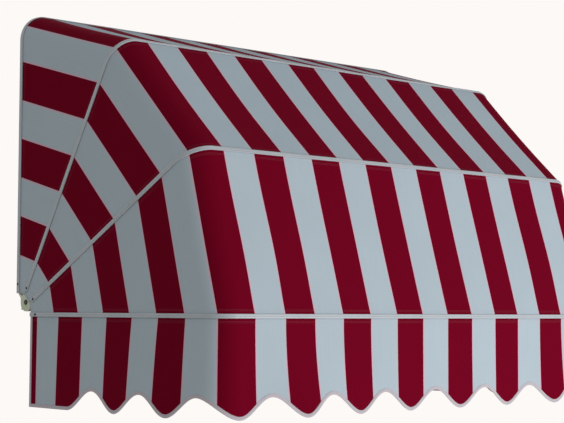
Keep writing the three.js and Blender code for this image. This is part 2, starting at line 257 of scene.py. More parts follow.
# %% [markdown]
# ## Shared effects
# The cloth is a plain weave of yarns a bit under a millimetre apart, dyed in blocks, and the slubs
# of its yarns leave faint streaks that run with the stripes. It could be drawn thread by thread,
# but two crossed sine waves give the same relief for nothing and stay sharp at any distance.

# %% Woven cloth
yarn_width = 0.0009
streaks_per_metre = (340.0, 7.0, 1.0)  # fine across the warp, drawn out along it
clouds_per_metre = 5.0


def make_weave():
    """Relief and light variation of a plain weave. Place is in metres: across and along the warp."""
    outputs = ("Relief", "Streaks", "Clouds")
    group, given, result = new_group("woven_cloth", outputs, Place=None, Yarn=yarn_width)
    place = given["Place"]
    turns = maths(group, "DIVIDE", math.pi, given["Yarn"])
    warp, weft = (maths(group, "SINE", times(group, way, turns)) for way in split(group, place))
    drawn_out = add_node(group, "ShaderNodeVectorMath", [
        (0, place), (1, streaks_per_metre),
    ], operation="MULTIPLY").outputs[0]
    fill(group, result, [
        ("Relief", maths(group, "MULTIPLY_ADD", times(group, warp, weft), 0.5, 0.5)),
        ("Streaks", noise(group, drawn_out, 1.0, 3.0)),
        ("Clouds", noise(group, place, clouds_per_metre, 3.0)),
    ])
    return group


weave = make_weave()
print("made", weave.name)

# %% [markdown]
# Block stripes are yarn-dyed: at each border a few mixed yarns lie between the two colours, which
# shows as a thin greyish pink line. A cosine of the length across the stripes is positive in the
# white ones and negative in the red ones, so one node gives the blocks and their borders.

# %% Block stripes
dye_blur = 0.012  # of the cosine, which is about 0.4 mm of cloth
line_blur = 0.02
line_fade = 0.6  # the share of its width after which the border line fades


def make_stripes():
    outputs = ("Red", "Border")
    group, given, result = new_group("block_stripes", outputs, Length=0.0, Stripe=stripe, Border=0.12)
    turn = times(group, given["Length"], maths(group, "DIVIDE", math.pi, given["Stripe"]))
    wave = maths(group, "COSINE", turn)
    inside = ramp(group, wave, -line_blur, line_blur)
    fade = times(group, given["Border"], line_fade)
    outside = ramp(group, wave, fade, given["Border"], 1.0, 0.0)
    fill(group, result, [
        ("Red", ramp(group, wave, -dye_blur, dye_blur, 1.0, 0.0)),
        ("Border", times(group, inside, outside)),
    ])
    return group


block_stripes = make_stripes()
print("made", block_stripes.name)

# %% [markdown]
# Each edge that goes into a profile is sewn round a bead, so two rows of stitches run beside every
# hoop, and the cloth puckers a little along them. Thousands of modelled stitches would have to bend
# with the folding cloth, so a dash pattern draws them, with the pucker as relief.

# %% Rows of stitches
dash_rise = (-0.8, -0.4)  # the thread dips into the cloth where its sine is below these
thread_edge = (0.0003, 0.0006)
thread_height = 0.5
pucker_depth = 0.3
pucker_reach = 0.004


def make_stitches():
    """Thread of one seam. Away is the distance from the edge, Run the distance along it."""
    outputs = ("Thread", "Relief")
    group, given, result = new_group("sewn_rows", outputs, Away=1.0, Run=0.0, Row=0.01, Stitch=0.0042)
    off_row = maths(group, "ABSOLUTE", maths(group, "SUBTRACT", given["Away"], given["Row"]))
    beat = times(group, given["Run"], maths(group, "DIVIDE", 2 * math.pi, given["Stitch"]))
    dash = ramp(group, maths(group, "SINE", beat), *dash_rise)
    thread = times(group, ramp(group, off_row, *thread_edge, 1.0, 0.0), dash)
    pucker = ramp(group, off_row, 0.0, pucker_reach, -pucker_depth, 0.0)
    relief = maths(group, "MULTIPLY_ADD", thread, thread_height, pucker)
    fill(group, result, [("Thread", thread), ("Relief", relief)])
    return group


sewn_rows = make_stitches()
print("made", sewn_rows.name)

# %% [markdown]
# Powder coat dries with a fine orange peel, castings keep the grain of their mould, and dust dulls
# both unevenly. All of that is noise at different sizes, so one group gives the small relief and
# the slow variation, and each finish sets how coarse its own grain is.

# %% Surface grain
specks_per_metre, speck_limits = 160.0, (0.58, 0.72)
dust_per_metre, dust_limits = 9.0, (0.35, 0.7)


def make_grain():
    outputs = ("Relief", "Specks", "Dust")
    group, given, result = new_group("surface_grain", outputs, Place=None, Grain=0.0012)
    place = given["Place"]
    fill(group, result, [
        ("Relief", noise(group, place, maths(group, "DIVIDE", 1.0, given["Grain"]), 2.0)),
        ("Specks", ramp(group, noise(group, place, specks_per_metre, 5.0), *speck_limits)),
        ("Dust", ramp(group, noise(group, place, dust_per_metre, 4.0), *dust_limits)),
    ])
    return group


def grain_marks(tree, grain):
    place = add_node(tree, "ShaderNodeTexCoord").outputs["Object"]
    return use_group(tree, surface_grain, Place=place, Grain=grain)


surface_grain = make_grain()
print("made", surface_grain.name)

# %% [markdown]
# ## Finishes of the metal
# The hoops are white powder coat and the castings at the hub a creamy paint. The rivets and pins are
# near black steel; on the pins that dark is partly painted shade of the gaps at the hub. One function
# builds a painted or bare metal from its colour, its grain and how glossy it is.

# %% Painted and bare metal
dust_tint, speck_tint = 0.35, 0.18
dust_dulls = 0.15
grain_height = 0.0003


def metal_finish(name, base, dusty, roughness, grain, relief, metallic=0.0):
    material, tree, shader = new_material(name)
    marks = grain_marks(tree, grain)
    tint = blend_colours(tree, times(tree, marks["Dust"], dust_tint), base, dusty)
    specked = times(tree, marks["Specks"], speck_tint)
    fill(tree, shader, [
        ("Base Color", blend_colours(tree, specked, tint, dusty)),
        ("Roughness", maths(tree, "MULTIPLY_ADD", marks["Dust"], dust_dulls, roughness)),
        ("Normal", bump(tree, relief, grain_height, marks["Relief"])),
        ("Metallic", metallic),
    ])
    return material


white_coat = metal_finish(
    "white_powder_coat", colour(187, 193, 201), colour(167, 174, 181), 0.34, grain=0.0014, relief=0.25,
)
cream_paint = metal_finish(
    "cream_casting_paint", colour(214, 222, 198), colour(160, 172, 146), 0.45, grain=0.0022, relief=0.55,
)
# Near black steel for rivets and pins; on the pins this dark is partly painted shade of the gaps at the hub.
dark_steel = metal_finish(
    "dark_steel_and_painted_hub_shade", colour(46, 44, 47), colour(84, 80, 80), 0.42, grain=0.0009, relief=0.3, metallic=0.6,
)
plain_steel = metal_finish(
    "plain_steel", colour(142, 142, 146), colour(100, 98, 96), 0.33, grain=0.0008, relief=0.25, metallic=1.0,
)
print("made four metal finishes")

# %% [markdown]
# Each part of the frame says in the record which slot it is painted from, so a loop can dress them
# all. Only the rings that keep the pins in place are bare steel.

# %% Dress the metal parts
finish_of = {"white_profile": white_coat, "cast_fitting": cream_paint, "steel": dark_steel}
slot_of = {row["node"]: row["material_slot"] for row in frame["record"]["subparts"]}
for node_name, part in frame["nodes"].items():
    finish = finish_of.get(slot_of[node_name])
    if "ring" in node_name:
        finish = plain_steel
    for material_slot in part.material_slots:
        if finish:
            material_slot.material = finish
print("finished", sum(slot_of[name] in finish_of for name in slot_of), "metal parts")

# %% [markdown]
# ## Rounding the castings
# A casting has no knife edges, and its bosses are truly round. The frame's parts are built of flat
# faces. A geometry node group on top of each part joins the doubled points and shades faces that
# meet at a shallow angle as one surface.

# %% Smooth the small metal parts
same_point = 0.00001
smooth_below = math.radians(32)
rounded_above = math.radians(40)
edge_radius = 0.0004


def make_smoothing():
    group = bpy.data.node_groups.new("smooth_by_angle", "GeometryNodeTree")
    for direction in ("INPUT", "OUTPUT"):
        group.interface.new_socket("Geometry", in_out=direction, socket_type="NodeSocketGeometry")
    angle = add_node(group, "GeometryNodeInputMeshEdgeAngle").outputs["Unsigned Angle"]
    limits = [("A", angle), ("B", smooth_below)]
    sharp = add_node(group, "FunctionNodeCompare", limits, operation="GREATER_THAN")
    edges = [("Selection", sharp.outputs[0]), ("Shade Smooth", False)]
    shape = add_node(group, "NodeGroupInput").outputs[0]
    for kind, inputs, settings in (
        ("RemoveAttribute", [("Name", "custom_normal")], {}),
        ("MergeByDistance", [("Distance", same_point)], {}),
        ("SetShadeSmooth", [], {"domain": "FACE"}),
        ("SetShadeSmooth", edges, {"domain": "EDGE"}),
    ):
        shape = add_node(group, "GeometryNode" + kind, [("Geometry", shape), *inputs], **settings).outputs[0]
    add_node(group, "NodeGroupOutput", [(0, shape)])
    return group


smoothing = make_smoothing()
for node_name, part in frame["nodes"].items():
    if slot_of[node_name] in ("cast_fitting", "steel") or "clip" in node_name:
        part.modifiers.new("smoothing", "NODES").node_group = smoothing
        rounding = part.modifiers.new("rounding", "BEVEL")
        rounding.width = edge_radius
        rounding.segments = 2
        rounding.limit_method = "ANGLE"
        rounding.angle_limit = rounded_above
print("smoothed the small parts with", smoothing.name)

# %% [markdown]
# ## Shapes in the plane of a hoop
# The hoops, the cloth and the beads all follow one outline: along the crossbar, round a bend and
# down an arm. Written once as a row of stations, each with its outward direction, it
# serves for all of them, and the two halves are mirror images.

# %% The outline that everything follows
cloth_step, cloth_corner_steps = 0.014, 12


def steps(distance, step):
    return max(1, math.ceil(distance / step))


def outline(start, step, corner_steps):
    """Stations from the left arm's end to the right arm's: x, r, and the outward direction."""
    straight, top = half_width - corner_radius, reach - corner_radius
    bar = np.linspace(0, straight, steps(straight, step) + 1)[:-1]
    turn = np.linspace(0, math.pi / 2, corner_steps + 1)
    arm = np.linspace(top, start, steps(top - start, step) + 1)[1:]
    right = np.stack([
        np.concatenate([bar, straight + corner_radius * np.sin(turn), np.full(len(arm), half_width)]),
        np.concatenate([np.full(len(bar), reach), top + corner_radius * np.cos(turn), arm]),
        np.concatenate([np.zeros(len(bar)), np.sin(turn), np.ones(len(arm))]),
        np.concatenate([np.ones(len(bar)), np.cos(turn), np.zeros(len(arm))]),
    ], axis=1)
    left = right[:0:-1] * (-1, 1, -1, 1)
    return np.vstack([left, right]).T


def in_hoop(angle, x, r, across):
    """Points in the row frame. Across is the distance from the hoop's plane, towards the next hoop."""
    forward = r * math.sin(angle) + across * math.cos(angle)
    up = r * math.cos(angle) - across * math.sin(angle)
    return np.stack(np.broadcast_arrays(x, arm_y - forward, hub_z + up), axis=-1)


def sweep(angle, path, inwards, across):
    """A net along an outline: a column for each station, and in it a point for each pair given."""
    x, r, nx, nr = (values[:, None] for values in path)
    return in_hoop(angle, x + nx * inwards, r + nr * inwards, across)


def distances(*coordinates):
    """How far along a path each of its stations lies."""
    return np.concatenate([[0], np.cumsum(np.hypot(*(np.diff(c) for c in coordinates)))])


print("outline has", outline(cloth_start, cloth_step, cloth_corner_steps).shape[1], "cloth stations")

# %% [markdown]
# ## Meshes from points
# Every modelled piece here is a net of points with faces between them. It could be drawn with
# bmesh operators one by one, but a net is faster and its points stay in a known order, which the
# maps need.


# %% Mesh helpers
def net_faces(columns, rows, round_rows=False):
    """Quads of a net whose points are stored column by column."""
    across = rows if round_rows else rows - 1
    return [
        (c * rows + r, (c + 1) * rows + r, (c + 1) * rows + (r + 1) % rows, c * rows + (r + 1) % rows)
        for c in range(columns - 1) for r in range(across)
    ]


def tube_faces(columns, rows):
    """Faces of a closed tube: its wall and its two ends."""
    last = (columns - 1) * rows
    return net_faces(columns, rows, True) + [tuple(range(rows)), tuple(range(last, last + rows))]


def new_piece(name, points, faces, material, sharp=35, closed=True):
    mesh = bpy.data.meshes.new(name)
    mesh.from_pydata([tuple(p) for p in points], [], faces)
    if closed:
        body = bmesh.new()
        body.from_mesh(mesh)
        bmesh.ops.recalc_face_normals(body, faces=body.faces)
        body.to_mesh(mesh)
        body.free()
    mesh.shade_smooth()
    mesh.set_sharp_from_angle(angle=math.radians(sharp))
    mesh.materials.append(material)
    piece = bpy.data.objects.new(name, mesh)
    scene.collection.objects.link(piece)
    return piece


def store_places(piece, name, places):
    """Keeps two numbers for each point as a UV map."""
    layer = piece.data.uv_layers.new(name=name)
    corners = np.zeros(len(piece.data.loops), np.int32)
    piece.data.loops.foreach_get("vertex_index", corners)
    layer.data.foreach_set("uv", np.asarray(places, np.float32).reshape(-1, 2)[corners].ravel())


print("a tube of 2 rings of 8 points has", len(tube_faces(2, 8)), "faces")

# %% [markdown]
# ## The hoops
# Each hoop is one length of extruded profile, bent twice. Its section has a shallow groove down the
# outer face, a keyhole slot in each flank that the cloth's bead slides into, and a hollow behind.
# The section could be drawn by hand as a curve, but from named sizes it always fits the bead.

# %% Section of the profile
wall = 0.002
groove = 0.0008
channel_top, channel_bottom = 0.0016, 0.006
hollow_top = 0.009
crisp, eased, round_edge = 0.0002, 0.0003, 0.0012  # radii of the corners
channel_round, hollow_round = 0.0006, 0.0005


def rounded(corners, arc_steps=3):
    """A closed outline from (across, inwards, radius) corners, with each corner as an arc."""
    points = []
    for i, (x, y, radius) in enumerate(corners):
        here = Vector((x, y))
        before = (Vector(corners[i - 1][:2]) - here).normalized()
        after = (Vector(corners[(i + 1) % len(corners)][:2]) - here).normalized()
        half = before.angle(after) / 2
        centre = here + (before + after).normalized() * (radius / math.sin(half))
        start = here + before * (radius / math.tan(half)) - centre
        sweep = start.angle_signed(here + after * (radius / math.tan(half)) - centre)
        for k in range(arc_steps + 1):
            points.append(centre + Matrix.Rotation(-sweep * k / arc_steps, 2) @ start)
    return points


lip = half_profile - lip_depth
web = lip - channel_width
inside = half_profile - wall
flank = [
    (groove, 0, eased), (half_profile, 0, round_edge),
    (half_profile, -mouth_top, eased), (lip, -mouth_top, crisp), (lip, -channel_top, eased),
    (web, -channel_top, channel_round), (web, -channel_bottom, channel_round),
    (lip, -channel_bottom, eased), (lip, -mouth_bottom, crisp), (half_profile, -mouth_bottom, eased),
    (half_profile, -profile_depth, round_edge),
]
other_flank = [(-across, inwards, radius) for across, inwards, radius in reversed(flank)]
section = rounded([(0, -groove, crisp), *flank, *other_flank])
hollow = rounded([
    (-inside, -hollow_top, hollow_round), (inside, -hollow_top, hollow_round),
    (inside, wall - profile_depth, hollow_round), (-inside, wall - profile_depth, hollow_round),
])
print("section has", len(section), "points, its hollow", len(hollow))

# %% [markdown]
# A bending roller turns the straight length into a hoop. A bevelled curve could carry the section
# along the outline, but its frame twists at the ends of an arc, so the section is placed station
# by station, with fine steps round the bends.

# %% Bend the section into hoops
hoop_step, hoop_corner_steps = 0.4, 24


def make_hoop(name, angle, start):
    path = outline(start, hoop_step, hoop_corner_steps)
    stations = path.shape[1]
    points, faces, ends, first = [], [], [], 0
    for ring in (section, hollow):
        across, inwards = np.array(ring).T
        points.append(sweep(angle, path, inwards, across).reshape(-1, 3))
        faces += [tuple(first + i for i in face) for face in net_faces(stations, len(ring), True)]
        ends += [(first + i, first + (stations - 1) * len(ring) + i) for i in range(len(ring))]
        first += stations * len(ring)
    for triangle in tessellate_polygon([[p.to_3d() for p in ring] for ring in (section, hollow)]):
        faces += [tuple(ends[i][0] for i in triangle), tuple(ends[i][1] for i in triangle)]
    return new_piece(name, np.concatenate(points), faces, white_coat, sharp=40)


for hoop_name, hoop in hoops.items():
    profile = make_hoop(f"{hoop_name}_hoop_profile", hoop["angle"], hoop["start"])
    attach(profile, hoop["body"])
    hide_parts(f"{hoop_name}_hoop")
    print(profile.name, len(profile.data.polygons), "faces")

# %% [markdown]
# ## The cloth's material
# Woven acrylic is dull and holds its colour right into the shade, so the shader has almost no
# gloss. The pattern isn't painted by place in the world but along the cloth: one map holds the
# distance across and along the stripes, and a second one the distance from the sewn edges, so
# the pattern bends and folds with the cloth.

# %% Striped cloth
cloth_white = colour(189, 203, 214)
cloth_red = colour(119, 2, 33)
border_tint = colour(224, 186, 204)
border_width, border_share = 0.16, 0.9
streak_shade, cloud_shade = (0.10, 0.91), (0.10, 0.99)  # how much each varies, and its darkest
dullness = (0.1, 0.82)
weave_height, yarn_relief = 0.25, 0.0006
thread_share = 0.08
hoop_seams = (0.010, 0.0135)
end_seam = 0.011


def striped_cloth(name):
    material, tree, shader = new_material(name)
    place = add_node(tree, "ShaderNodeUVMap", uv_map="along").outputs[0]
    edges = add_node(tree, "ShaderNodeUVMap", uv_map="edges").outputs[0]
    length, run = split(tree, place)
    from_hoop, from_end = split(tree, edges)
    yarns = use_group(tree, weave, Place=place, Yarn=yarn_width)
    blocks = use_group(tree, block_stripes, Length=length, Stripe=stripe, Border=border_width)
    dyed = blend_colours(tree, blocks["Red"], cloth_white, cloth_red)
    dyed = blend_colours(tree, times(tree, blocks["Border"], border_share), dyed, border_tint)
    shade = maths(tree, "MULTIPLY_ADD", yarns["Streaks"], *streak_shade)
    shade = times(tree, shade, maths(tree, "MULTIPLY_ADD", yarns["Clouds"], *cloud_shade))
    grey = add_node(tree, "ShaderNodeCombineColor", [(channel, shade) for channel in range(3)])
    dyed = blend_colours(tree, 1.0, dyed, grey.outputs[0], "MULTIPLY")
    relief, thread = times(tree, yarns["Relief"], weave_height), 0.0
    rows = [(from_hoop, length, row) for row in hoop_seams] + [(from_end, run, end_seam)]
    for away, along, row in rows:
        seam = use_group(tree, sewn_rows, Away=away, Run=along, Row=row)
        relief = maths(tree, "ADD", relief, seam["Relief"])
        thread = maths(tree, "MAXIMUM", thread, seam["Thread"])
    sewn = blend_colours(tree, times(tree, thread, thread_share), dyed, border_tint)
    fill(tree, shader, [
        ("Base Color", sewn),
        ("Roughness", maths(tree, "MULTIPLY_ADD", yarns["Clouds"], *dullness)),
        ("Normal", bump(tree, 0.5, yarn_relief, relief)),
        ("Specular IOR Level", 0.03),
    ])
    return material


stripes_on_acrylic = striped_cloth("striped_acrylic")
print("cloth material has", len(stripes_on_acrylic.node_tree.nodes), "nodes")

# %% [markdown]
# ## The three panels
# A panel is one length of cloth whose straight lines all run from one hoop to the next, parallel to
# each other, so flat cloth wraps round the corners without stretching. The stripes run along those
# lines. That is why they meet at an angle over the arms. Tight cloth isn't
# quite flat: it pulls in a little between the bars and swells towards the front corners. A cloth
# simulation would find nearly the same surface, so the small swell is written as a formula.

# %% How tight cloth swells
swell_seed = np.random.default_rng(12)
shortest_wave, longest_wave = 0.13, 0.45


def tension_waves(length, count, height):
    """Shallow waves that lie along the stripes, as stretched cloth has."""
    waves = np.zeros_like(length)
    for _ in range(count):
        size, place = swell_seed.uniform(shortest_wave, longest_wave), swell_seed.uniform(0, 2 * math.pi)
        waves += np.sin(2 * math.pi * length / size + place) * size
    return waves * height / count


def hill(value, centre, width):
    return np.exp(-(((value - centre) / width) ** 2))


def soft_step(value, low, high):
    share = np.clip((value - low) / (high - low), 0, 1)
    return share * share * (3 - 2 * share)


print("halfway up, a soft step is", float(soft_step(0.5, 0, 1)))

# %% [markdown]
# The net of a panel has a column of points for every station of the outline and a row for every
# few centimetres from hoop to hoop. The first and last rows lie in the slots. Each point also gets
# its place on the flat cloth, measured along the panel, and its distance from the sewn edges.

# %% Cut the panels
panel_rows = 27
edge_grip = 0.004  # the strip along each hoop that stays in its slot
corner_from, corner_to = 0.66, 0.80  # where cloth turns a corner, from the middle of the front
swell_place, swell_width, swell_tilt = 0.56, 0.2, 1.4
wave_count, wave_height = 7, 0.008


def panel_net(first_angle, sag, corner_swell, drift):
    """Points of one panel, column by column, with what the material and the fold need."""
    half = fan_step / 2
    x, r, nx, nr = outline(cloth_start, cloth_step, cloth_corner_steps)
    outer_height = r * math.cos(half) + lip_middle * math.sin(half)
    height = (r - slot_inset * nr) * math.cos(half) + lip_middle * math.sin(half)
    half_chord = (height * math.sin(half) - bead_line) / math.cos(half)
    run = distances(x, outer_height)
    length = run - run[len(run) // 2]
    inner = np.linspace(-1, 1, panel_rows)[None, :] * (half_chord - edge_grip)[:, None]
    along = np.concatenate([-half_chord[:, None], inner, half_chord[:, None]], axis=1)
    share = along / half_chord[:, None]
    free = (1 - share**2) ** 2 * np.clip(half_chord / half_chord.max(), 0, 1)[:, None]
    swell = -sag * (1 - share**2) ** 1.5 * nr[:, None] ** 2
    corner = hill(np.abs(length), swell_place, swell_width)[:, None]
    swell += corner_swell * free * corner * (1 + swell_tilt * share)
    swell += free * tension_waves(length, wave_count, wave_height)[:, None]
    points = in_hoop(
        first_angle + half,
        (x - slot_inset * nx)[:, None] + swell * nx[:, None],
        height[:, None] + swell * nr[:, None],
        along,
    )
    drawn = drift * soft_step(length, -corner_to, -corner_from)[:, None] * (share + 1) / 2
    places = np.stack([length[:, None] - drawn, along], axis=-1)
    from_end = length.max() - np.abs(length)
    edges = np.stack(np.broadcast_arrays(half_chord[:, None] - np.abs(along), from_end[:, None]), axis=-1)
    area = float((np.diff(length) * (half_chord[1:] + half_chord[:-1])).sum())
    return points, places, edges, (2 * length.max(), 2 * half_chord.max()), area


print("a panel's corner runs from", corner_from, "to", corner_to, "m beside its middle")

# %% [markdown]
# The hoops turn while the cloth stays tied to both, so each point follows its two hoops by the
# share of the angle at which it lies between them. Modifiers give the sheet its thickness, twice
# as much where it is hemmed. Real cloth would fold in pleats, but shares of an angle keep it
# between its hoops at every pose.

# %% Stretch the panels
hem_width = 0.012
cloth_thickness = 0.0006


def fold_shares(points):
    """How far each point has turned from the first hoop to the second, about the pivot."""
    turned = np.arctan2(pivot.y - points[..., 1], points[..., 2] - pivot.z)
    first, last = turned[:, 1:2], turned[:, -2:-1]
    return np.clip((turned - first) / (last - first), 0, 1)


def thicken(piece, hemmed):
    """Gives cloth its thickness, and twice as much where it is hemmed."""
    group = piece.vertex_groups.new(name="hem")
    group.add([int(index) for index in np.nonzero(hemmed)[0]], 1.0, "REPLACE")
    thickness = piece.modifiers.new("thickness", "SOLIDIFY")
    thickness.thickness = 2 * cloth_thickness
    thickness.offset = 0
    thickness.vertex_group = group.name
    thickness.thickness_vertex_group = 0.5  # the share that cloth outside the group keeps


def make_panel(name, first, second, sag, corner_swell, drift):
    points, places, edges, flat, area = panel_net(hoops[first]["angle"], sag, corner_swell, drift)
    columns, rows = points.shape[:2]
    faces = net_faces(columns, rows)
    cloth = new_piece(name, points.reshape(-1, 3), faces, stripes_on_acrylic, sharp=60, closed=False)
    store_places(cloth, "along", places)
    store_places(cloth, "edges", edges)
    middle = points[columns // 2]
    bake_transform(cloth, hoops[first]["body"], hoops[second]["body"], start=middle[0], end=middle[-1])
    follow = cloth.data.attributes["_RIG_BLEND"]
    follow.data.foreach_set("value", fold_shares(points).astype(np.float32).ravel())
    thicken(cloth, edges.reshape(-1, 2).min(axis=1) < hem_width)
    return cloth, flat, area


panels = {}
for panel_name, first, second, sag, corner_swell, drift in (
    ("upper_panel", "wall", "upper", 0.003, 0.0, 0.0),
    ("middle_panel", "upper", "middle", 0.004, 0.0, 0.0),
    ("lower_panel", "middle", "front", 0.001, 0.004, 0.008),
):
    cloth, flat, area = make_panel(f"{panel_name}_cloth", first, second, sag, corner_swell, drift)
    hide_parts(panel_name)
    panels[panel_name] = (cloth, flat, area, first, second)
    print(cloth.name, "cut from", [round(s, 3) for s in flat], "m, area", round(area, 3), "m2")

# %% [markdown]
# ## The beads
# The cloth doesn't hold in the slot by itself: its edge is sewn round a cord of soft plastic, the
# keder bead, which is too thick for the slot's mouth. It shows only as a dot at each end of
# a profile. Each bead is a tube inside the channel, and goes with the hoop whose slot it fills.

# %% Bead material and tubes
bead_radius = 0.0015
bead_gap = 0.0005  # from a profile's end to the bead's cut end
bead_sides = 8
bead_step = 0.12


def soft_finish(name, grain, mark, light, dark, roughness):
    """Two close colours, mixed by one of the marks of the surface grain."""
    material, tree, shader = new_material(name)
    marks = grain_marks(tree, grain)
    tint = blend_colours(tree, marks[mark], light, dark)
    fill(tree, shader, [("Base Color", tint), ("Roughness", roughness)])
    return material


def make_bead(name, hoop, facing):
    """Facing is -1 for the slot towards the hoop before, 1 for the one towards the next."""
    path = outline(hoop["start"] + bead_gap, bead_step, cloth_corner_steps)
    turn = np.arange(bead_sides) * (2 * math.pi / bead_sides)
    inwards = -(slot_inset + bead_radius * np.cos(turn))
    across = facing * bead_line + bead_radius * np.sin(turn)
    points = sweep(hoop["angle"], path, inwards, across).reshape(-1, 3)
    bead = new_piece(name, points, tube_faces(path.shape[1], bead_sides), bead_plastic, sharp=60)
    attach(bead, hoop["body"])
    return bead


bead_plastic = soft_finish(
    "bead_plastic", 0.002, "Dust", colour(214, 212, 206), colour(186, 184, 178), roughness=0.5,
)
for panel_name, (cloth, flat, area, first, second) in panels.items():
    beads = [
        make_bead(f"{panel_name}_bead_{first}", hoops[first], 1),
        make_bead(f"{panel_name}_bead_{second}", hoops[second], -1),
    ]
print("made", 2 * len(panels), "beads")

# %% [markdown]
# ## The valance
# The valance is a strip cut with scallops, two stripes to each, so that every point hangs
# under a red one. It is held only along its top, so it isn't flat like the panels: it stands
# out where it goes round a corner, and drops into slow waves between. A simulation would make
# waves of its own, so the few that this one has are named here, with their places.

# %% Sizes of the valance
bend_start = half_width - corner_radius
bend_end = bend_start + corner_radius * math.pi / 2
valance_start = 0.056
valance_end = bend_end + reach - corner_radius - valance_start
hem_low, hem_high = 0.242, 0.191
scallop = 2 * stripe
last_low = 1.3  # past the last point the hem runs straight

# Waves of the hem from the left end round to the right: place, half width and how far out, in metres
hem_waves = (
    (-1.33, 0.10, 0.006), (-0.98, 0.21, 0.020), (-0.49, 0.12, 0.018), (-0.33, 0.19, 0.011),
    (0.20, 0.08, 0.003), (0.54, 0.08, 0.012), (0.97, 0.22, 0.017), (1.30, 0.11, 0.006),
)
full_drop = 0.21  # bar to the middle of the hem, where the waves have these sizes
depth_limits = (0.0001, 1.2)
front_curve, side_curve = 1.8, 0.85  # powers of the drop: the front curls, the sides lean
curve_from = 0.64
corner_ease = 0.010
end_turn, turn_from, turn_to = 0.007, 1.36, 1.45
print("valance is", round(2 * valance_end, 3), "m long, hem from", hem_high, "to", hem_low, "m")

# %% [markdown]
# A strip on a straight bar would hang flat. Four small functions bend it: how far it stands out,
# where its stripes lie, where a point of it hangs, and how deep the hem is. Waves could be
# sculpted by hand, but as functions they are the same for the cloth and for all that is sewn on it.


# %% Surface of the valance
def stands_out(length, drop):
    """How far the cloth stands out from its straight fall."""
    depth = np.clip(drop / full_drop, *depth_limits)
    curve = front_curve - (front_curve - side_curve) * soft_step(np.abs(length), curve_from, corner_to)
    waves = sum(out * hill(length, place, width) for place, width, out in hem_waves)
    return waves * depth**curve


def stripes_at(length):
    """Where the valance's own stripes lie: its cloth is eased at each corner and turned in at each end."""
    corners = soft_step(length, -corner_to, -corner_from) + soft_step(length, corner_from, corner_to)
    ends = soft_step(-length, turn_from, turn_to) - soft_step(length, turn_from, turn_to)
    return length - corner_ease * corners - end_turn * ends


def hang(length, height, outward=0.0):
    """Points of the valance at a length from the middle and a height from the bar's line."""
    run, side = np.abs(length), np.where(length < 0, -1.0, 1.0)
    turn = np.clip((run - bend_start) / corner_radius, 0, math.pi / 2)
    out = stands_out(length, -height - half_profile) + outward
    radius = corner_radius - slot_inset + out
    x = np.minimum(run, bend_start) + radius * np.sin(turn)
    r = reach - corner_radius + radius * np.cos(turn) - np.maximum(run - bend_end, 0)
    return in_hoop(hoops["front"]["angle"], side * x, r, -height)


def hem(length):
    """Height of the hem. Its points hang under the middles of the red stripes."""
    run = np.abs(stripes_at(length))
    wave = -np.cos(2 * math.pi * run / scallop)
    scalloped = -(hem_high + hem_low) / 2 - (hem_low - hem_high) / 2 * wave
    return np.where(run > last_low, -hem_low, scalloped)


widest = max(float(stands_out(place, full_drop)) for place, _, _ in hem_waves)
print("the hem stands out by up to", round(widest, 4), "m")

# %% [markdown]
# With the surface known, the cloth is only a fine grid on it, from the slot down to the hem. A
# cloth simulation would have to be led to the waves of the real one.

# %% Hang the cloth
tape_reach = 0.0009  # the tape's fold lies this far beyond the cloth's edge
valance_lengths = np.linspace(-1, 1, 521) * (valance_end - tape_reach)
valance_top = -bead_line
drops = np.linspace(0, 1, 27)


def make_valance():
    length = np.broadcast_to(valance_lengths[:, None], (len(valance_lengths), len(drops)))
    bottom = hem(valance_lengths) + tape_reach
    height = valance_top + (bottom - valance_top)[:, None] * drops
    points, faces = hang(length, height).reshape(-1, 3), net_faces(*length.shape)
    cloth = new_piece("valance_cloth", points, faces, stripes_on_acrylic, sharp=60, closed=False)
    below_top = valance_top - height
    store_places(cloth, "along", np.stack([stripes_at(length), height], axis=-1))
    store_places(cloth, "edges", np.stack([below_top, np.ones_like(length)], axis=-1))
    thicken(cloth, below_top.ravel() < hem_width)
    area = float((np.diff(valance_lengths) * (valance_top - (bottom[1:] + bottom[:-1]) / 2)).sum())
    return cloth, area


valance, valance_area = make_valance()
print(valance.name, "area", round(valance_area, 3), "m2")

# %% [markdown]
# ## The binding tape
# A woven tape is folded over the whole cut edge, up one end, along the scallops and up the other.
# It could be a curve with a bevel, but a curve can't lie on the waving surface, so its path is
# kept in the valance's own length and height, with the direction that points into the cloth.


# %% Path of the edge
def edge_path(step):
    """Points of the cut edge as length and height, with the direction into the cloth."""
    top = -half_profile
    rise = np.linspace(top, -hem_low, steps(hem_low + top, step) + 1)
    along = np.linspace(-valance_end, valance_end, steps(2 * valance_end, step) + 1)
    low = hem(along)
    slope = np.gradient(low, along)
    into = np.stack([-slope, np.ones_like(slope)], axis=1) / np.hypot(slope, 1)[:, None]
    left = np.stack([np.full_like(rise, -valance_end), rise], axis=1)[:-1]
    path = np.vstack([left, np.stack([along, low], axis=1), left[::-1] * (-1, 1)])
    aside = np.tile((1.0, 0.0), (len(left), 1))
    inward = np.vstack([aside, into, -aside])
    inward[len(left), 0] += 1
    inward[-len(left) - 1, 0] -= 1
    return path, inward, distances(*path.T)


def on_edge(path, inward, reach_in, outward):
    """A point this far into the cloth from the edge, and this far out from its middle."""
    place = path + inward * reach_in
    return hang(place[:, 0], place[:, 1], outward)


tape_step, thread_step = 0.005, 0.0015
print("the cut edge is", round(float(edge_path(tape_step)[2][-1]), 3), "m long")

# %% [markdown]
# The tape is soft and matt, with its own finer weave, and a little pinker than the cloth. Its
# section is drawn folded, thinner where the stitches pull it in, and swept along the edge, so it
# stands out and waves with the valance.

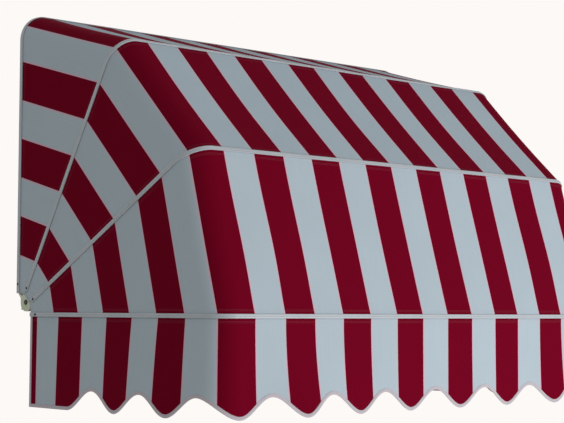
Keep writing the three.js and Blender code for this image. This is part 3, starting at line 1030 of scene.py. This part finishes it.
# %% Fold the tape over the edge
tape_yarn, tape_relief = 0.0007, 0.0004
tape_clouds, tape_furrows = 0.5, 0.12  # how much they darken it
tape_width = 0.009
stitch_line, dimple = 0.0065, 0.001  # edge to the row of stitches, and how far it pulls the tape in
outer_face, inner_face = 0.0013, 0.0004  # from the cloth's middle
pulled_face, turned_face = 0.0009, 0.0008
turned_edge = 0.0006
fold = [(0.0016, 0.0014), (0.0004, 0.0010)]  # into the cloth and out from its middle

half_fold = [
    (tape_width, turned_face), (tape_width - turned_edge, outer_face), (stitch_line + dimple, outer_face),
    (stitch_line, pulled_face), (stitch_line - dimple, outer_face), *fold,
]
tape_section = half_fold + [(0.0, 0.0)] + [(into, -out) for into, out in reversed(half_fold)]
tape_section += [(tape_width, -inner_face), (tape_reach, -inner_face)]
tape_section += [(tape_reach, inner_face), (tape_width, inner_face)]


def tape_finish():
    material, tree, shader = new_material("binding_tape")
    place = add_node(tree, "ShaderNodeUVMap", uv_map="along").outputs[0]
    yarns = use_group(tree, weave, Place=place, Yarn=tape_yarn)
    cloudy = times(tree, yarns["Clouds"], tape_clouds)
    shade = maths(tree, "MULTIPLY_ADD", yarns["Relief"], tape_furrows, cloudy)
    fill(tree, shader, [
        ("Base Color", blend_colours(tree, shade, colour(216, 207, 216), colour(188, 180, 190))),
        ("Normal", bump(tree, 0.6, tape_relief, yarns["Relief"])),
        ("Roughness", 0.85),
        ("Specular IOR Level", 0.12),
    ])
    return material


def make_tape():
    path, inward, run = edge_path(tape_step)
    net = np.stack([on_edge(path, inward, into, out) for into, out in tape_section], axis=1)
    faces = tube_faces(*net.shape[:2])
    tape = new_piece("valance_binding_tape", net.reshape(-1, 3), faces, tape_finish(), sharp=50)
    around = np.array([into if out >= 0 else -into for into, out in tape_section])
    store_places(tape, "along", np.stack(np.broadcast_arrays(run[:, None], around[None, :]), axis=-1))
    return tape


tape = make_tape()
print(tape.name, len(tape.data.polygons), "faces")

# %% [markdown]
# The stitches that hold the tape are the ones a visitor sees from close by, so these are real: a
# small flat bead of thread for each, on both faces, a little sunk where the needle went in.

# %% Sew the tape on
stitch_pitch, stitch_length, thread_radius = 0.0045, 0.0036, 0.00035
thread_out = 0.0010  # from the cloth's middle
thread_sides = 6
# Along the stitch, how thick the thread is, and how far it has sunk into the tape
stitch_shape = [(-0.5, 0.4, 0.0003), (-0.3, 1.0, 0.0), (0.3, 1.0, 0.0), (0.5, 0.4, 0.0003)]


def make_stitches_on_tape(material):
    path, inward, run = edge_path(thread_step)
    middles = np.arange(stitch_pitch, run[-1] - stitch_pitch, stitch_pitch)
    turn = np.arange(thread_sides) * (2 * math.pi / thread_sides)
    rings = []
    for along, thick, sunk in stitch_shape:
        at = middles + along * stitch_length
        spot, into = (
            np.stack([np.interp(at, run, column) for column in table.T], axis=1) for table in (path, inward)
        )
        radius = thread_radius * thick
        for face in (1, -1):
            out = face * (thread_out - sunk)
            rings.append([
                on_edge(spot, into, stitch_line + radius * math.cos(t), out + radius * math.sin(t))
                for t in turn
            ])
    net = np.array(rings).reshape(len(stitch_shape), 2, thread_sides, len(middles), 3)
    points = net.transpose(3, 1, 0, 2, 4).reshape(-1, 3)
    body = tube_faces(len(stitch_shape), thread_sides)
    starts = range(0, len(points), len(stitch_shape) * thread_sides)
    faces = [tuple(start + i for i in face) for start in starts for face in body]
    return new_piece("valance_binding_thread", points, faces, material, sharp=60), len(starts)


thread, stitch_count = make_stitches_on_tape(soft_finish(
    "sewing_thread", 0.0005, "Relief", colour(212, 204, 208), colour(176, 166, 174), roughness=0.6,
))
valance_bead = make_bead("valance_bead", hoops["front"], 1)
print(thread.name, stitch_count, "stitches")

# %% [markdown]
# The valance, its tape and its thread all hang from the front hoop. When that hoop folds, real
# cloth crumples between the bars. Pleats could be simulated for one pose only, so these three
# only turn with the front hoop.

# %% Hang it all on the front hoop
for piece in (valance, tape, thread):
    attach(piece, "front_bow")
    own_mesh(piece)
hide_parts("valance")
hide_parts("valance_binding")
print("valance flat size", round(2 * valance_end, 3), round(hem_low + valance_top, 3))

# %% [markdown]
# ## Floor and surroundings
# The hood floats as it does on a wall, and the floor lies where a window's ground would be. A
# bright backdrop could light the object too, and wash it out. So the pale surroundings are only
# what the camera and the gloss see, and the light that falls on things is set by itself.

# %% Floor and world
backdrop = colour(253, 249, 246)
shade_light, shade_strength = (0.975, 1.0, 0.975, 1.0), 0.41
floor_height, floor_half = -3.0, 40
fade_from, fade_to, fade_share = 3.0, 9.0, 0.5  # the floor turns into the backdrop with distance


def seen_directly(tree):
    """1 for a ray from the camera, gloss or glass, 0 for the light itself."""
    path = add_node(tree, "ShaderNodeLightPath").outputs
    seen = maths(tree, "MAXIMUM", path["Is Camera Ray"], path["Is Glossy Ray"])
    return maths(tree, "MAXIMUM", seen, path["Is Transmission Ray"])


def mix_to(tree, output, share, first, second):
    inputs = [(0, share), (1, first.outputs[0]), (2, second.outputs[0])]
    mixed = add_node(tree, "ShaderNodeMixShader", inputs)
    fill(tree, tree.nodes[output], [("Surface", mixed.outputs[0])])


def make_world():
    world = bpy.data.worlds.new("studio")
    world.use_nodes = True
    tree = world.node_tree
    ambient = tree.nodes["Background"]
    fill(tree, ambient, [("Color", shade_light), ("Strength", shade_strength)])
    shown = add_node(tree, "ShaderNodeBackground", [("Color", backdrop), ("Strength", 1.0)])
    mix_to(tree, "World Output", seen_directly(tree), ambient, shown)
    scene.world = world


def make_floor():
    material, tree, shader = new_material("pale_floor")
    plain = [("Base Color", colour(236, 233, 230)), ("Roughness", 0.9), ("Specular IOR Level", 0.1)]
    fill(tree, shader, plain)
    glow = add_node(tree, "ShaderNodeEmission", [("Color", backdrop), ("Strength", 1.0)])
    place = add_node(tree, "ShaderNodeNewGeometry").outputs["Position"]
    away = add_node(tree, "ShaderNodeVectorMath", [(0, place)], operation="LENGTH").outputs["Value"]
    pale = times(tree, seen_directly(tree), ramp(tree, away, fade_from, fade_to, fade_share, 1.0))
    mix_to(tree, "Material Output", pale, shader, glow)
    square = ((-1, -1), (1, -1), (1, 1), (-1, 1))
    corners = [(x * floor_half, y * floor_half, floor_height) for x, y in square]
    floor = new_piece("floor", corners, [(0, 1, 2, 3)], material, closed=False)


make_world()
make_floor()
print("floor at", floor_height, "m, surroundings in place")

# %% [markdown]
# ## Light
# The front is brighter than the side in the photograph, with soft edges. A sun would draw hard
# shadows, so one broad soft lamp stands in front and to the right, and low, which leaves the left
# side and the slanting roof in an even shade.

# %% Soft lamp
lamp_target = Vector((0.0, -0.5, -0.55))
lamp_data = bpy.data.lights.new("soft_lamp", "AREA")
lamp_data.shape = "RECTANGLE"
lamp_data.size = 3.2
lamp_data.size_y = 1.47
lamp_data.energy = 92
lamp = bpy.data.objects.new("soft_lamp", lamp_data)
lamp.location = (1.3, -4.4, -1.6)
lamp.rotation_euler = (lamp_target - lamp.location).to_track_quat("-Z", "Y").to_euler()
scene.collection.objects.link(lamp)
print("lamp stands", round((lamp_target - lamp.location).length, 2), "m from the hood")
